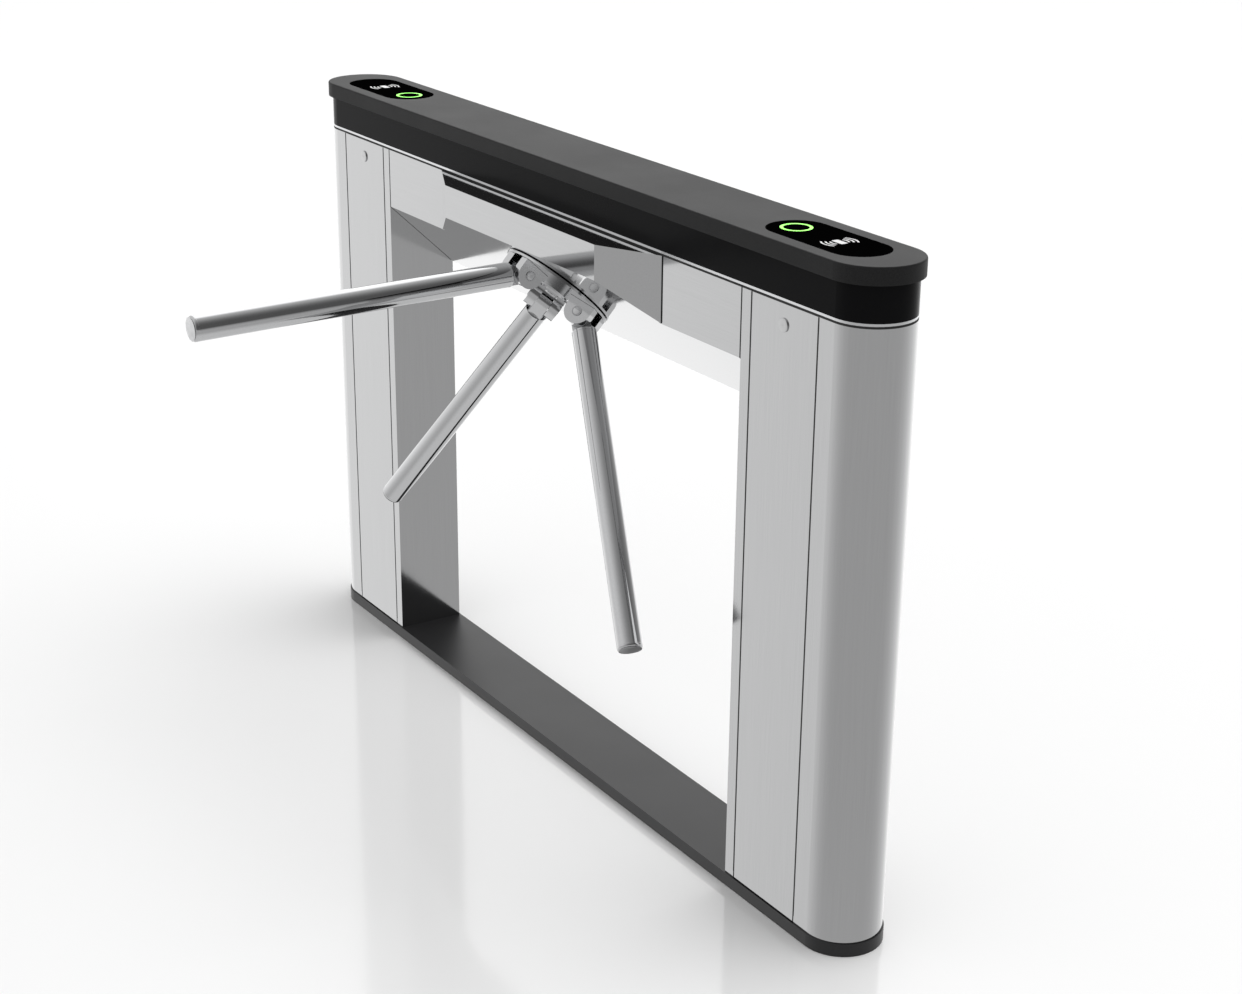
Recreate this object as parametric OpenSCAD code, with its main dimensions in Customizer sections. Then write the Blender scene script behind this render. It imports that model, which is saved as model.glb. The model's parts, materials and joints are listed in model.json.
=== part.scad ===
// Bridge-type tripod turnstile: two narrow columns joined by a beam, with a three-arm hub
// under the beam. The arms swing round a tilted axis, and each can drop out of the way.
// Origin: bottom centre of the plinth. +X along the cabinet, -Y to the passage side, +Z up.

/* [Overall] */
// Height from the floor to the top of the lid
total_h = 980; // [940:1:1060]
// Length of the steel cabinet
cabinet_l = 1536; // [1480:2:1700]
// Width of the steel cabinet
cabinet_w = 118; // [114:1:130]
// Length of each column, from the cabinet's end to the passage
column_l = 256; // [240:2:280]
// Thickness of the steel skins
skin_t = 2; // [1.5:0.1:2.5]

/* [Base] */
// Height of the black plinth
plinth_h = 20; // [18:1:30]
// How far the plinth stands out past the skins
plinth_step = 2; // [1:0.5:4]
// Wall and top thickness of the plinth
plinth_t = 4; // [3:0.5:6]
// Thickness of the steel plate on the floor
base_t = 6; // [5:0.5:10]
// Diameter of the floor anchor holes
anchor_d = 14; // [10:1:18]
// Distance between the anchor holes along the cabinet
anchor_run = 120; // [100:2:130]
// Distance between the anchor holes across the cabinet
anchor_gap = 66; // [50:2:76]
// Diameter of the cable entry in the floor plate
entry_d = 50; // [30:1:60]

/* [Columns] */
// Width of the fixed strip between the passage and the service door
strip_w = 21; // [18:1:30]
// Width of the service door
door_w = 144; // [130:1:160]
// Width of the seams round the service door
seam_w = 1.8; // [1:0.1:2.4]
// Depth of the folded returns on the skins
return_w = 10; // [8:1:14]
// Thickness of the channel posts inside the columns
post_t = 3; // [2.5:0.5:5]
// Diameter of the door lock's face
lock_d = 19; // [16:1:22]
// Distance from the top of the steel body down to the lock
lock_drop = 29; // [26:1:40]

/* [Beam] */
// Height of the beam's front face
beam_front_h = 98; // [90:1:110]
// Slope of the beam's underside
slope_a = 43.2; // [40:0.1:45]
// Length of the bonnet where it leaves the beam
bonnet_l = 649; // [600:1:700]
// Length of the bonnet's front face
bonnet_front_l = 442; // [400:1:480]
// How far the bonnet stands out from the beam
bonnet_out = 49; // [44:1:56]
// Width of the seams at the ends of the beam
beam_seam_w = 2.8; // [1:0.1:3.5]
// Width of the seams at the ends of the bonnet
bonnet_seam_w = 1.4; // [1:0.1:3]
// Thickness of the deck plate on top of the steel body
deck_t = 3; // [2:0.5:5]

/* [Top] */
// Height of the lid
lid_h = 24; // [20:1:30]
// How far the lid stands out past the skins
lid_out = 7; // [4:1:10]
// Wall thickness of the lid
lid_t = 4; // [3.5:0.5:5]
// Height of the black band under the lid
band_h = 50; // [40:1:60]
// Wall thickness of the black band
band_t = 5; // [4:0.5:8]
// Height of the bright trim strip
trim_h = 4; // [3:0.5:8]
// Height of the dark joint under the trim strip
joint_h = 2; // [1:0.5:4]

/* [Readers] */
// Length of the reader window
window_l = 213; // [190:1:230]
// Width of the reader window
window_w = 86; // [70:1:92]
// Thickness of the reader window
window_t = 3; // [2:0.5:3]
// Distance from the end of the lid to the window
window_margin = 55; // [45:1:65]
// Outer diameter of the light ring
ring_d = 44; // [38:1:50]
// Width of the light ring
ring_w = 4.5; // [3:0.5:6]
// Distance from the inner end of the window to the light ring
ring_margin = 17; // [14:0.5:22]

/* [Hub] */
// Where the hub axis meets the sloping underside, across the cabinet
hub_y = -35; // [-37:0.5:-33]
// Distance from the sloping underside back to the point where the arm axes meet
apex_in = 42.5; // [40:0.5:44]
// Angle between the hub axis and each arm
arm_a = 45.5; // [44:0.1:46]
// Rest position of the hub about its axis
hub_turn_a = 1; // [0:0.5:2]
// Diameter of the hub's disc
disc_d = 184; // [178:1:188]
// Thickness of the hub's disc
disc_t = 3.5; // [3:0.5:5]
// Running gap between the disc and the sloping underside
disc_gap = 1.5; // [1:0.1:2]
// Diameter of the hub's drum
drum_d = 96; // [92:1:97]
// Height of the drum on the disc
drum_h = 10; // [8:0.5:11]
// Distance from the arm apex to the arm pivots
pin_reach = 92; // [90:0.5:94]
// Diameter of the arm pivot pins
pin_d = 12; // [10:0.5:13]
// Radius of the round ends of the clevis ears
ear_r = 22; // [20:0.5:22.5]
// Thickness of each clevis ear
ear_t = 15.5; // [12:0.5:17]
// Diameter of the main shaft
shaft_d = 25; // [22:1:28]

/* [Arms] */
// Diameter of the arm tube
arm_d = 38; // [34:1:40]
// Wall thickness of the arm tube
arm_t = 1.5; // [1.2:0.1:2.5]
// Distance from the arm apex to the tip of the arm
arm_reach = 620; // [560:1:680]
// Thickness of the arm's tongue
tongue_t = 22; // [18:1:24]
// Width of the arm's tongue
tongue_w = 30; // [26:1:31]

/* [Mechanism] */
// Thickness of the chassis plate
chassis_t = 6; // [5:0.5:8]
// Length of the chassis plate
chassis_l = 264; // [256:1:280]
// Outer diameter of the main bearings
bearing_d = 47; // [44:1:50]
// Width of the main bearings
bearing_w = 12; // [10:1:14]
// Length of the bearing housing
housing_l = 58; // [50:1:60]
// Size of the gear teeth, as pitch diameter per tooth
gear_module = 1.5; // [1.4:0.05:1.5]
// Teeth on the damper gear
gear_teeth = 48; // [48:12:48]
// Teeth on the damper pinion
pinion_teeth = 16; // [16:4:16]
// Face width of the gears
gear_w = 7; // [5:0.5:8]
// Diameter of the rotary damper
damper_d = 38; // [34:1:38]
// Diameter of the lock wheel
wheel_d = 66; // [62:1:68]
// Notches in the lock wheel
notch_count = 24; // [24:12:24]
// Depth of the notches in the lock wheel
notch_depth = 4; // [3:0.5:5]
// Diameter of the lock bolts
bolt_d = 8; // [6:0.5:9]

/* [Hidden] */
$fn = 72;

// Overrun of every cut past the face that it opens
over = 1;
// Gap between pieces that are laid or bolted together
fit = 0.3;
// Radial clearance of a pin or shaft in its bore
run_fit = 0.05;

passage_l = cabinet_l - 2 * column_l;
half_w = cabinet_w / 2;
half_l = cabinet_l / 2;
half_p = passage_l / 2;
inner_y = half_w - skin_t;
body_top = total_h - lid_h - band_h - trim_h - joint_h;
deck_z = body_top - deck_t;
door_x0 = half_p + strip_w;
door_x1 = door_x0 + door_w;

// Height of the sloping underside's outer face, at a place across the cabinet
function slope_z(y) = body_top - beam_front_h - (y + half_w) * tan(slope_a);

// Height of a plane inside the sloping underside, at a depth square to it
function deep_z(y, depth) = slope_z(y) + depth / cos(slope_a);

// The right-hand piece, or its mirror image at the left end
module at_end(side) mirror([side < 0 ? 1 : 0, 0, 0]) children();

// A profile drawn across the cabinet, carried along it
module along_x(l) rotate([90, 0, 90]) linear_extrude(l, center = true) children();

// Outline with straight sides and round ends
module stadium(l, w) {
    square([l - w, w], center = true);
    for (side = [-1, 1]) translate([side * (l - w) / 2, 0]) circle(d = w);
}

// Half profile carried round a long loop, drawn outwards from the loop's centre line
module round_loop(l, w) {
    run = l - w;
    for (side = [-1, 1])
        translate([side * run / 2, 0, 0])
            rotate([0, 0, side * 90 - 180])
                rotate_extrude(angle = 180) children();
    along_x(run) {
        children();
        mirror([1, 0]) children();
    }
}

// Space above a plane inside the sloping underside
module above_slope(depth, l) {
    far = total_h;
    along_x(l)
        polygon([
            [-far, deep_z(-far, depth)], [far, deep_z(far, depth)],
            [far, deep_z(-far, depth)]
        ]);
}

// Base: a steel plate on the floor under a black plinth with a well for each column
plinth_l = cabinet_l + 2 * plinth_step;
plinth_w = cabinet_w + 2 * plinth_step;
ledge_w = 3 * skin_t;
anchor_x = (half_p + half_l) / 2;

module base_plate() {
    inset = 2 * (plinth_t + fit);
    color("dimgray") difference() {
        linear_extrude(base_t) stadium(plinth_l - inset, plinth_w - inset);
        for (side = [-1, 1]) translate([side * anchor_x, 0, -over]) {
            for (i = [-1, 1], j = [-1, 1])
                translate([i * anchor_run / 2, j * anchor_gap / 2, 0])
                    cylinder(d = anchor_d, h = base_t + 2 * over);
            cylinder(d = entry_d, h = base_t + 2 * over);
        }
    }
}

module column_well() {
    inset = 2 * ledge_w;
    intersection() {
        stadium(cabinet_l - inset, cabinet_w - inset);
        translate([half_p + ledge_w, -half_w]) square([half_l, cabinet_w]);
    }
}

module plinth() {
    inset = 2 * plinth_t;
    color("#222222") difference() {
        linear_extrude(plinth_h) stadium(plinth_l, plinth_w);
        translate([0, 0, -over])
            linear_extrude(plinth_h - plinth_t + over)
                stadium(plinth_l - inset, plinth_w - inset);
        for (side = [-1, 1]) at_end(side) linear_extrude(plinth_h + over) column_well();
    }
}

// Columns: a folded channel on the passage side, a wrap round the end, a door between them
cable_hole_d = 2 * strip_w;
cable_hole_z = body_top - 2.5 * strip_w;

module cable_hole() {
    translate([half_p - over, 0, cable_hole_z])
        rotate([0, 90, 0]) cylinder(d = cable_hole_d, h = strip_w + over);
}

return_h = deck_z - fit - plinth_h;

module column_channel() {
    edge = strip_w - seam_w / 2;
    color("silver") difference() {
        translate([half_p, 0, plinth_h])
            for (side = [0, 1]) mirror([0, side, 0]) {
                linear_extrude(return_h) {
                    square([skin_t, half_w]);
                    translate([edge - skin_t, half_w - return_w]) square([skin_t, return_w]);
                }
                linear_extrude(body_top - plinth_h)
                    translate([0, inner_y]) square([edge, skin_t]);
            }
        cable_hole();
    }
}

module column_wrap() {
    x_front = door_x1 + seam_w / 2;
    x_back = door_x0 + seam_w / 2;
    color("silver")
        translate([0, 0, plinth_h]) {
            linear_extrude(body_top - plinth_h)
                intersection() {
                    difference() {
                        stadium(cabinet_l, cabinet_w);
                        stadium(cabinet_l - 2 * skin_t, cabinet_w - 2 * skin_t);
                    }
                    union() {
                        translate([x_front, -half_w]) square([half_l, cabinet_w]);
                        translate([x_back, 0]) square([half_l, half_w]);
                    }
                }
            linear_extrude(return_h) {
                translate([x_front, -half_w]) square([skin_t, return_w]);
                translate([x_back, half_w - return_w]) square([skin_t, return_w]);
            }
        }
}

post_flange = 2 * strip_w;
post_y = half_w - return_w - 4 * skin_t;

module post() {
    color("gainsboro") difference() {
        translate([half_p + ledge_w + fit, 0, base_t])
            linear_extrude(deck_z - base_t) {
                translate([0, -post_y]) square([post_t, 2 * post_y]);
                for (side = [0, 1]) mirror([0, side])
                    translate([0, post_y - post_t]) square([post_flange, post_t]);
            }
        cable_hole();
    }
}

// Service door: a folded panel that turns on a rod at its foot and tilts out at the top
rod_d = 5;
rod_gap = 0.4;
rod_y = -(inner_y - rod_d / 2 - rod_gap);
rod_z = plinth_h + rod_d + skin_t;
door_foot = 1.5;
lock_x = (door_x0 + door_x1) / 2;
lock_z = body_top - lock_drop;
lock_body_d = 0.8 * lock_d;

module door() {
    x0 = door_x0 + seam_w / 2;
    w = door_w - seam_w;
    z0 = plinth_h + door_foot;
    side_h = deck_z - skin_t - z0;
    color("silver") difference() {
        translate([x0, -half_w, z0]) {
            cube([w, skin_t, body_top - seam_w / 2 - z0]);
            for (x = [0, w - skin_t]) translate([x, 0, 0]) cube([skin_t, return_w, side_h]);
        }
        translate([x0 - over, rod_y, rod_z])
            rotate([0, 90, 0]) cylinder(d = rod_d + 2 * rod_gap, h = w + 2 * over);
        translate([lock_x, -half_w - over, lock_z])
            rotate([-90, 0, 0]) cylinder(d = lock_body_d + 2 * fit, h = skin_t + 2 * over);
    }
}

module door_rods() {
    color("gray")
        for (side = [-1, 1]) at_end(side)
            translate([door_x0 - seam_w / 2, rod_y, rod_z])
                rotate([0, 90, 0]) cylinder(d = rod_d, h = door_w + seam_w);
}

// Quarter-turn lock: its cam lies level while the door is free, and stands up to lock it
lock_proud = 1;
cam_t = 2.5;
cam_w = 12;
cam_l = 24;
keeper_t = 2;
keeper_l = 40;
keeper_y = -inner_y + return_w / 2;
cam_y = keeper_y + keeper_t + rod_gap;

module door_lock() {
    face_y = -half_w - lock_proud;
    color("silver") translate([lock_x, face_y, lock_z]) rotate([-90, 0, 0]) {
        difference() {
            cylinder(d = lock_d, h = lock_proud - run_fit);
            translate([0, 0, -over]) cylinder(d = lock_d / 3, h = over + lock_proud / 2);
        }
        translate([0, 0, lock_proud / 2])
            cylinder(d = lock_body_d, h = cam_y - face_y - lock_proud / 2);
    }
    color("gray") translate([lock_x, cam_y, lock_z]) rotate([-90, 0, 0]) {
        cylinder(d = cam_w, h = cam_t);
        translate([0, -cam_w / 2, 0]) cube([cam_l, cam_w, cam_t]);
    }
}

module lock_keepers() {
    h = deck_z - lock_z - cam_w / 2 - keeper_t;
    color("gainsboro")
        for (side = [-1, 1]) at_end(side)
            translate([lock_x - keeper_l / 2, keeper_y, deck_z - h])
                cube([keeper_l, keeper_t, h]);
}

// Beam: one folded skin with a sloping underside, and a bonnet over the mechanism
bonnet_top = body_top;
hub_hole_d = shaft_d + 4 * skin_t;

module hub_frame() {
    translate([0, hub_y, slope_z(hub_y)]) rotate([180 - slope_a, 0, 0]) children();
}

// A flat outline square to the hub axis, between two depths inside the underside
module deep(d0, d1) hub_frame() translate([0, 0, -d1]) linear_extrude(d1 - d0) children();

module beam_skin() {
    opening_top = deck_z - 3 * skin_t;
    color("silver") difference() {
        along_x(passage_l - 2 * beam_seam_w)
            polygon([
                [-half_w, body_top], [-half_w, slope_z(-half_w)],
                [half_w, slope_z(half_w)], [half_w, body_top],
                [inner_y, body_top], [inner_y, deep_z(inner_y, skin_t)],
                [-inner_y, deep_z(-inner_y, skin_t)], [-inner_y, body_top]
            ]);
        intersection() {
            translate([-bonnet_front_l / 2, -half_w - over, 0])
                cube([bonnet_front_l, skin_t + 2 * over, opening_top]);
            above_slope(skin_t, bonnet_l);
        }
        deep(-over, skin_t + over) circle(d = hub_hole_d);
    }
}

// Plan of the bonnet, drawn in by a wall thickness and carried past its back by a reach
bonnet_run = (bonnet_l - bonnet_front_l) / 2;

module bonnet_plan(wall, reach) {
    grow = bonnet_run / bonnet_out;
    shift = wall * norm([bonnet_run, bonnet_out]) / bonnet_out;
    back_x = bonnet_l / 2 - shift + grow * reach;
    front_x = bonnet_front_l / 2 - shift + grow * wall;
    front_y = half_w + bonnet_out - wall;
    polygon([
        [-back_x, reach - half_w], [-front_x, -front_y],
        [front_x, -front_y], [back_x, reach - half_w]
    ]);
}

seal_x1 = bonnet_l / 2 - bonnet_seam_w * bonnet_run / bonnet_out - fit;
seal_x0 = seal_x1 - 2 * skin_t;

module bonnet() {
    color("silver") difference() {
        intersection() {
            linear_extrude(bonnet_top) bonnet_plan(0, 0);
            above_slope(0, bonnet_l + over);
        }
        intersection() {
            linear_extrude(bonnet_top - skin_t) bonnet_plan(skin_t, over);
            above_slope(skin_t, bonnet_l + over);
        }
        for (side = [-1, 1]) at_end(side)
            translate([seal_x0 - fit, -half_w - bonnet_seam_w, 0])
                cube([bonnet_l, bonnet_seam_w + over, total_h]);
    }
}

// Dark seal in the seam between each end of the bonnet and the beam
module bonnet_seals() {
    color("#1a1a1a") intersection() {
        for (side = [-1, 1]) at_end(side)
            translate([seal_x0, -half_w - bonnet_seam_w + fit, 0])
                cube([seal_x1 - seal_x0, bonnet_seam_w - fit, bonnet_top - fit]);
        above_slope(fit, bonnet_l + over);
    }
}

rail_h = 11 * skin_t;
rail_w = 12 * skin_t;
rail_z = deck_z - rail_h;

module beam_rails() {
    color("gainsboro")
        for (side = [-1, 1])
            translate([0, side * (inner_y - fit - rail_w / 2), rail_z + rail_h / 2])
                along_x(passage_l) difference() {
                    square([rail_w, rail_h], center = true);
                    square([rail_w - 2 * skin_t, rail_h - 2 * skin_t], center = true);
                }
}

slot_w = cabinet_w - 2 * (skin_t + rail_w + skin_t);
slot_l = passage_l - 4 * strip_w;
well_l = half_l - half_w - half_p - post_flange - ledge_w;

module deck() {
    inset = 2 * (skin_t + fit);
    color("gainsboro")
        translate([0, 0, deck_z])
            linear_extrude(deck_t) difference() {
                stadium(cabinet_l - inset, cabinet_w - inset);
                square([slot_l, slot_w], center = true);
                for (side = [-1, 1])
                    translate([side * (half_p + post_flange + ledge_w + well_l / 2), 0])
                        square([well_l, slot_w], center = true);
            }
}

// Top: dark joint, bright trim, black band and lid, each a long loop with round ends
joint_w = 4 * joint_h;
trim_w = 3 * trim_h;
trim_z = body_top + joint_h;
band_z = trim_z + trim_h;
lid_z = total_h - lid_h;
lid_l = cabinet_l + 2 * lid_out;
lid_w = cabinet_w + 2 * lid_out;
lid_edge = 0.6 * lid_t;
rim_t = 0.75 * lid_t;

module loop_bar(w, z, h, step) {
    round_loop(cabinet_l, cabinet_w) translate([half_w - step - w, z]) square([w, h]);
}

module body_joint() color("#1a1a1a") loop_bar(joint_w, body_top, joint_h, skin_t);

module trim_strip() color("gainsboro") loop_bar(trim_w, trim_z, trim_h, 0);

module light_band() color("#101010") loop_bar(band_t, band_z, band_h, 0);

window_x = half_l + lid_out - window_margin - window_l / 2;
ring_x = window_x - window_l / 2 + ring_margin + ring_d / 2;
ring_t = 2 * window_t / 3;
sill_w = lid_t;

module lid() {
    w = lid_w / 2;
    color("#3c3c3c") difference() {
        round_loop(lid_l, lid_w) translate([0, lid_z]) {
            square([w, lid_h - lid_edge]);
            square([w - lid_edge, lid_h]);
            translate([w - lid_edge, lid_h - lid_edge]) circle(lid_edge);
        }
        translate([0, 0, lid_z + rim_t])
            linear_extrude(lid_h - lid_t - rim_t) stadium(lid_l - 2 * lid_t, lid_w - 2 * lid_t);
        translate([0, 0, lid_z - over])
            linear_extrude(rim_t + 2 * over)
                stadium(cabinet_l - 2 * band_t, cabinet_w - 2 * band_t);
        for (side = [-1, 1]) translate([side * window_x, 0, 0]) {
            translate([0, 0, total_h - window_t - fit])
                linear_extrude(lid_t) stadium(window_l + 2 * fit, window_w + 2 * fit);
            translate([0, 0, total_h - 2 * lid_t])
                linear_extrude(2 * lid_t) stadium(window_l - 2 * sill_w, window_w - 2 * sill_w);
        }
    }
}

module window() {
    color("#080808") difference() {
        translate([window_x, 0, total_h - window_t])
            linear_extrude(window_t) stadium(window_l, window_w);
        translate([ring_x, 0, total_h - ring_t]) difference() {
            cylinder(d = ring_d + 2 * run_fit, h = ring_t + over);
            translate([0, 0, -over])
                cylinder(d = ring_d - 2 * ring_w - 2 * run_fit, h = ring_t + 3 * over);
        }
    }
}

module light_ring() {
    color("lime") translate([ring_x, 0, total_h - ring_t]) difference() {
        cylinder(d = ring_d, h = ring_t);
        translate([0, 0, -over]) cylinder(d = ring_d - 2 * ring_w, h = ring_t + 2 * over);
    }
}

// Reader board hung under the window, with a light guide below the ring
board_t = 1.6;
board_drop = 9;
spacer_d = 6;
chip_h = 3;

module reader() {
    y = window_w / 2 + spacer_d;
    x = window_l / 2 - window_w / 2;
    board_z = total_h - lid_t - board_drop - board_t;
    guide_h = lid_t - window_t - fit + board_drop;
    translate([window_x, 0, board_z]) {
        color("darkgreen")
            translate([-x - spacer_d, -y - spacer_d / 2, 0])
                cube([2 * x + 2 * spacer_d, 2 * y + spacer_d, board_t]);
        color("gold")
            for (i = [-1, 1], j = [-1, 1])
                translate([i * x, j * y, board_t]) cylinder(d = spacer_d, h = board_drop);
        color("black")
            for (i = [0:2])
                translate([i * x / 3, -y / 2, board_t]) cube([x / 4, x / 4, chip_h]);
        color("white") translate([ring_x - window_x, 0, board_t]) difference() {
            cylinder(d = ring_d, h = guide_h);
            cylinder(d = ring_d - 2 * ring_w, h = guide_h + over);
        }
    }
}

// Chassis of the mechanism, square to the hub axis
chassis_d0 = skin_t + fit;
chassis_d1 = chassis_d0 + chassis_t;
chassis_back = (inner_y - fit - hub_y - sin(slope_a) * chassis_d1) / cos(slope_a);
chassis_front = (half_w + bonnet_out - 5 * skin_t + hub_y + sin(slope_a) * chassis_d0) / cos(slope_a);
bracket_t = 2 * skin_t;
bracket_x = chassis_l / 2 - 2 * bracket_t;

module chassis_plate() {
    color("gainsboro") deep(chassis_d0, chassis_d1) difference() {
        translate([-chassis_l / 2, -chassis_back])
            square([chassis_l, chassis_back + chassis_front]);
        circle(d = hub_hole_d);
    }
}

module chassis_brackets() {
    y = inner_y - fit;
    color("gainsboro")
        for (side = [-1, 1])
            translate([side * bracket_x, 0, 0])
                along_x(bracket_t) difference() {
                    polygon([
                        [-y, deep_z(-y, chassis_d1)], [y, deep_z(y, chassis_d1)],
                        [y, rail_z], [-y, rail_z]
                    ]);
                    translate([0, (rail_z + deep_z(0, chassis_d1)) / 2]) circle(d = cable_hole_d / 2);
                }
}

// Bearing housing: a square flange, a barrel and a seat for a bearing at each end
housing_d = bearing_d + 3 * bracket_t - arm_t * 2;
flange_t = 2 * bracket_t;
flange_l = 1.65 * housing_d;
screw_d = 8;
screw_head_h = 5;
screw_x = housing_d / 2 - screw_d;
screw_y = flange_l / 2 - screw_d;
housing_d1 = chassis_d1 + housing_l;

module bearing_housing() {
    color("lightgray") difference() {
        union() {
            deep(chassis_d1, chassis_d1 + flange_t)
                square([housing_d, flange_l], center = true);
            deep(chassis_d1, housing_d1) circle(d = housing_d);
        }
        deep(chassis_d1 - over, housing_d1 + over) circle(d = bearing_d - 3 * bracket_t / 2);
        deep(chassis_d1 - over, chassis_d1 + bearing_w + fit) circle(d = bearing_d + 2 * run_fit);
        deep(housing_d1 - bearing_w - fit, housing_d1 + over) circle(d = bearing_d + 2 * run_fit);
    }
}

// A sealed ball bearing, with the seal set in between its two rings
module bearing(d0) {
    race = (bearing_d - shaft_d) / 8;
    seal_in = bearing_w / 12;
    color("silver") deep(d0, d0 + bearing_w) difference() {
        circle(d = bearing_d);
        circle(d = bearing_d - 2 * race);
    }
    color("silver") deep(d0, d0 + bearing_w) difference() {
        circle(d = shaft_d + 2 * run_fit + 2 * race);
        circle(d = shaft_d + 2 * run_fit);
    }
    color("black") deep(d0 + seal_in, d0 + bearing_w - seal_in) difference() {
        circle(d = bearing_d - race);
        circle(d = shaft_d + 2 * run_fit + race);
    }
}

module main_bearings() {
    bearing(chassis_d1 + fit / 2);
    bearing(housing_d1 - bearing_w - fit / 2);
}

module housing_screws() {
    color("dimgray")
        for (i = [-1, 1], j = [-1, 1])
            deep(chassis_d1 + flange_t, chassis_d1 + flange_t + screw_head_h)
                translate([i * screw_x, j * screw_y]) difference() {
                    circle(d = 1.5 * screw_d);
                    circle(d = 0.75 * screw_d, $fn = 6);
                }
}

// Hub: disc, drum with three clevises, cap and shaft, all on the tilted axis
wheel_d0 = housing_d1 + gear_w + 3 * bracket_t;
wheel_w = 0.75 * bolt_d;
shaft_in = wheel_d0 + wheel_w + 2 * skin_t;
disc_top = disc_gap + disc_t;
drum_top = disc_top + drum_h;
cap_t = 2.5;

module hub_disc() {
    color("silver") hub_frame() translate([0, 0, disc_gap]) difference() {
        cylinder(d = disc_d, h = disc_t);
        translate([0, 0, -over]) cylinder(d = shaft_d + 2 * run_fit, h = disc_t + 2 * over);
    }
}

module main_shaft() {
    color("darkgray") hub_frame()
        translate([0, 0, -shaft_in]) cylinder(d = shaft_d, h = shaft_in + drum_top - fit);
}

pin_rho = pin_reach * sin(arm_a);
pin_s = pin_reach * cos(arm_a) - apex_in;
ear_gap = 0.5;
ear_x = tongue_t / 2 + ear_gap;

// Place of one arm: turned about the hub axis
module arm_turn(k) {
    hub_frame() rotate([0, 0, hub_turn_a + (k - 1) * 120]) children();
}

// Along an arm, from the point where the three arm axes meet
module along_arm(k) {
    arm_turn(k) translate([0, 0, -apex_in]) rotate([-arm_a, 0, 0]) children();
}

module ear_outline() {
    inner = drum_d / 4;
    foot = disc_top + fit;
    middle = pin_s - ear_r / 10;
    intersection() {
        translate([pin_rho, middle]) circle(r = ear_r);
        translate([0, foot]) square([pin_reach, pin_reach]);
    }
    translate([pin_rho - ear_r, foot]) square([2 * ear_r, middle - foot]);
    translate([inner, foot]) square([pin_rho - inner, drum_h - 2 * fit]);
}

module hub_head() {
    color("silver") difference() {
        union() {
            hub_frame() translate([0, 0, disc_top]) cylinder(d = drum_d, h = drum_h);
            for (k = [1:3], side = [-1, 1])
                arm_turn(k)
                    translate([side * (ear_x + ear_t / 2), 0, 0])
                        along_x(ear_t) ear_outline();
        }
        hub_frame() cylinder(d = shaft_d + 2 * run_fit, h = drum_top + over);
        for (k = [1:3])
            arm_turn(k)
                translate([-ear_x - ear_t - over, pin_rho, pin_s])
                    rotate([0, 90, 0])
                        cylinder(d = pin_d + 2 * run_fit, h = 2 * (ear_x + ear_t + over));
    }
}

module hub_cap() {
    r = drum_d / 3;
    color("silver") hub_frame() translate([0, 0, drum_top])
        rotate_extrude() polygon([[0, 0], [r, 0], [r - cap_t / 2, cap_t], [0, cap_t]]);
}

pin_head_d = 1.3 * pin_d;
pin_head_t = 1;

module arm_pins() {
    half = ear_x + ear_t;
    color("gray")
        for (k = [1:3])
            arm_turn(k) translate([0, pin_rho, pin_s]) rotate([0, 90, 0]) {
                translate([0, 0, -half - pin_head_t])
                    cylinder(d = pin_d, h = 2 * (half + pin_head_t));
                for (side = [0, 1]) mirror([0, 0, side])
                    translate([0, 0, half]) cylinder(d = pin_head_d, h = pin_head_t);
            }
}

// Arms: a forged root with its tongue, a tube pushed over it and a rounded end cap
arm_start = pin_reach + 1.1 * ear_r;
collar_t = 3;
plug_l = 1.1 * arm_d;
cap_h = 6;
cap_edge = 4.5;
bore_d = arm_d - 2 * arm_t;

module arm_root(k) {
    color("silver") along_arm(k) difference() {
        union() {
            along_x(tongue_t) {
                translate([0, pin_reach]) circle(d = tongue_w);
                translate([-tongue_w / 2, pin_reach]) square([tongue_w, arm_start - pin_reach]);
            }
            translate([0, 0, arm_start]) cylinder(d = arm_d, h = collar_t);
            translate([0, 0, arm_start])
                cylinder(d = bore_d - 2 * run_fit, h = collar_t + plug_l);
        }
        translate([-tongue_t / 2 - over, 0, pin_reach])
            rotate([0, 90, 0]) cylinder(d = pin_d + 2 * run_fit, h = tongue_t + 2 * over);
    }
}

module arm_tube(k) {
    z0 = arm_start + collar_t;
    color("silver") along_arm(k) difference() {
        translate([0, 0, z0]) cylinder(d = arm_d, h = arm_reach - cap_h - z0);
        cylinder(d = bore_d, h = arm_reach);
    }
}

module arm_cap(k) {
    r = arm_d / 2;
    z0 = arm_reach - cap_h;
    color("gainsboro") along_arm(k) {
        rotate_extrude() {
            translate([0, z0]) square([r - cap_edge, cap_h]);
            translate([0, z0]) square([r, cap_h - cap_edge]);
            translate([r - cap_edge, arm_reach - cap_edge]) intersection() {
                circle(cap_edge);
                square(cap_h);
            }
        }
        translate([0, 0, z0 - plug_l / 2])
            cylinder(d = bore_d - 2 * run_fit, h = (plug_l + cap_h) / 2);
    }
}

// Straight-sided gear outline: each tooth has a root, a pitch and a tip width
tooth_share = 0.43;
addendum_share = 0.8;
dedendum_share = 1.15;
pressure_a = 20;

function tooth_angle(n, height) =
    (tooth_share * PI / 2 - height * tan(pressure_a)) * 180 / (n / 2 + height) / PI;

function tooth_points(n, a) =
    [for (p = [[-1, -dedendum_share], [-1, addendum_share], [1, addendum_share], [1, -dedendum_share]])
        let (r = gear_module * (n / 2 + p[1]), t = a + p[0] * tooth_angle(n, p[1]))
            [r * cos(t), r * sin(t)]];

module gear_outline(n, turn) {
    polygon([for (i = [0:n - 1]) each tooth_points(n, turn + i * 360 / n)]);
}

gear_d0 = housing_d1 + bracket_t;
gear_slack = 0.15;
pinion_x = gear_module * (gear_teeth + pinion_teeth) / 2 + gear_slack;
pinion_shaft_d = 8;

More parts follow.
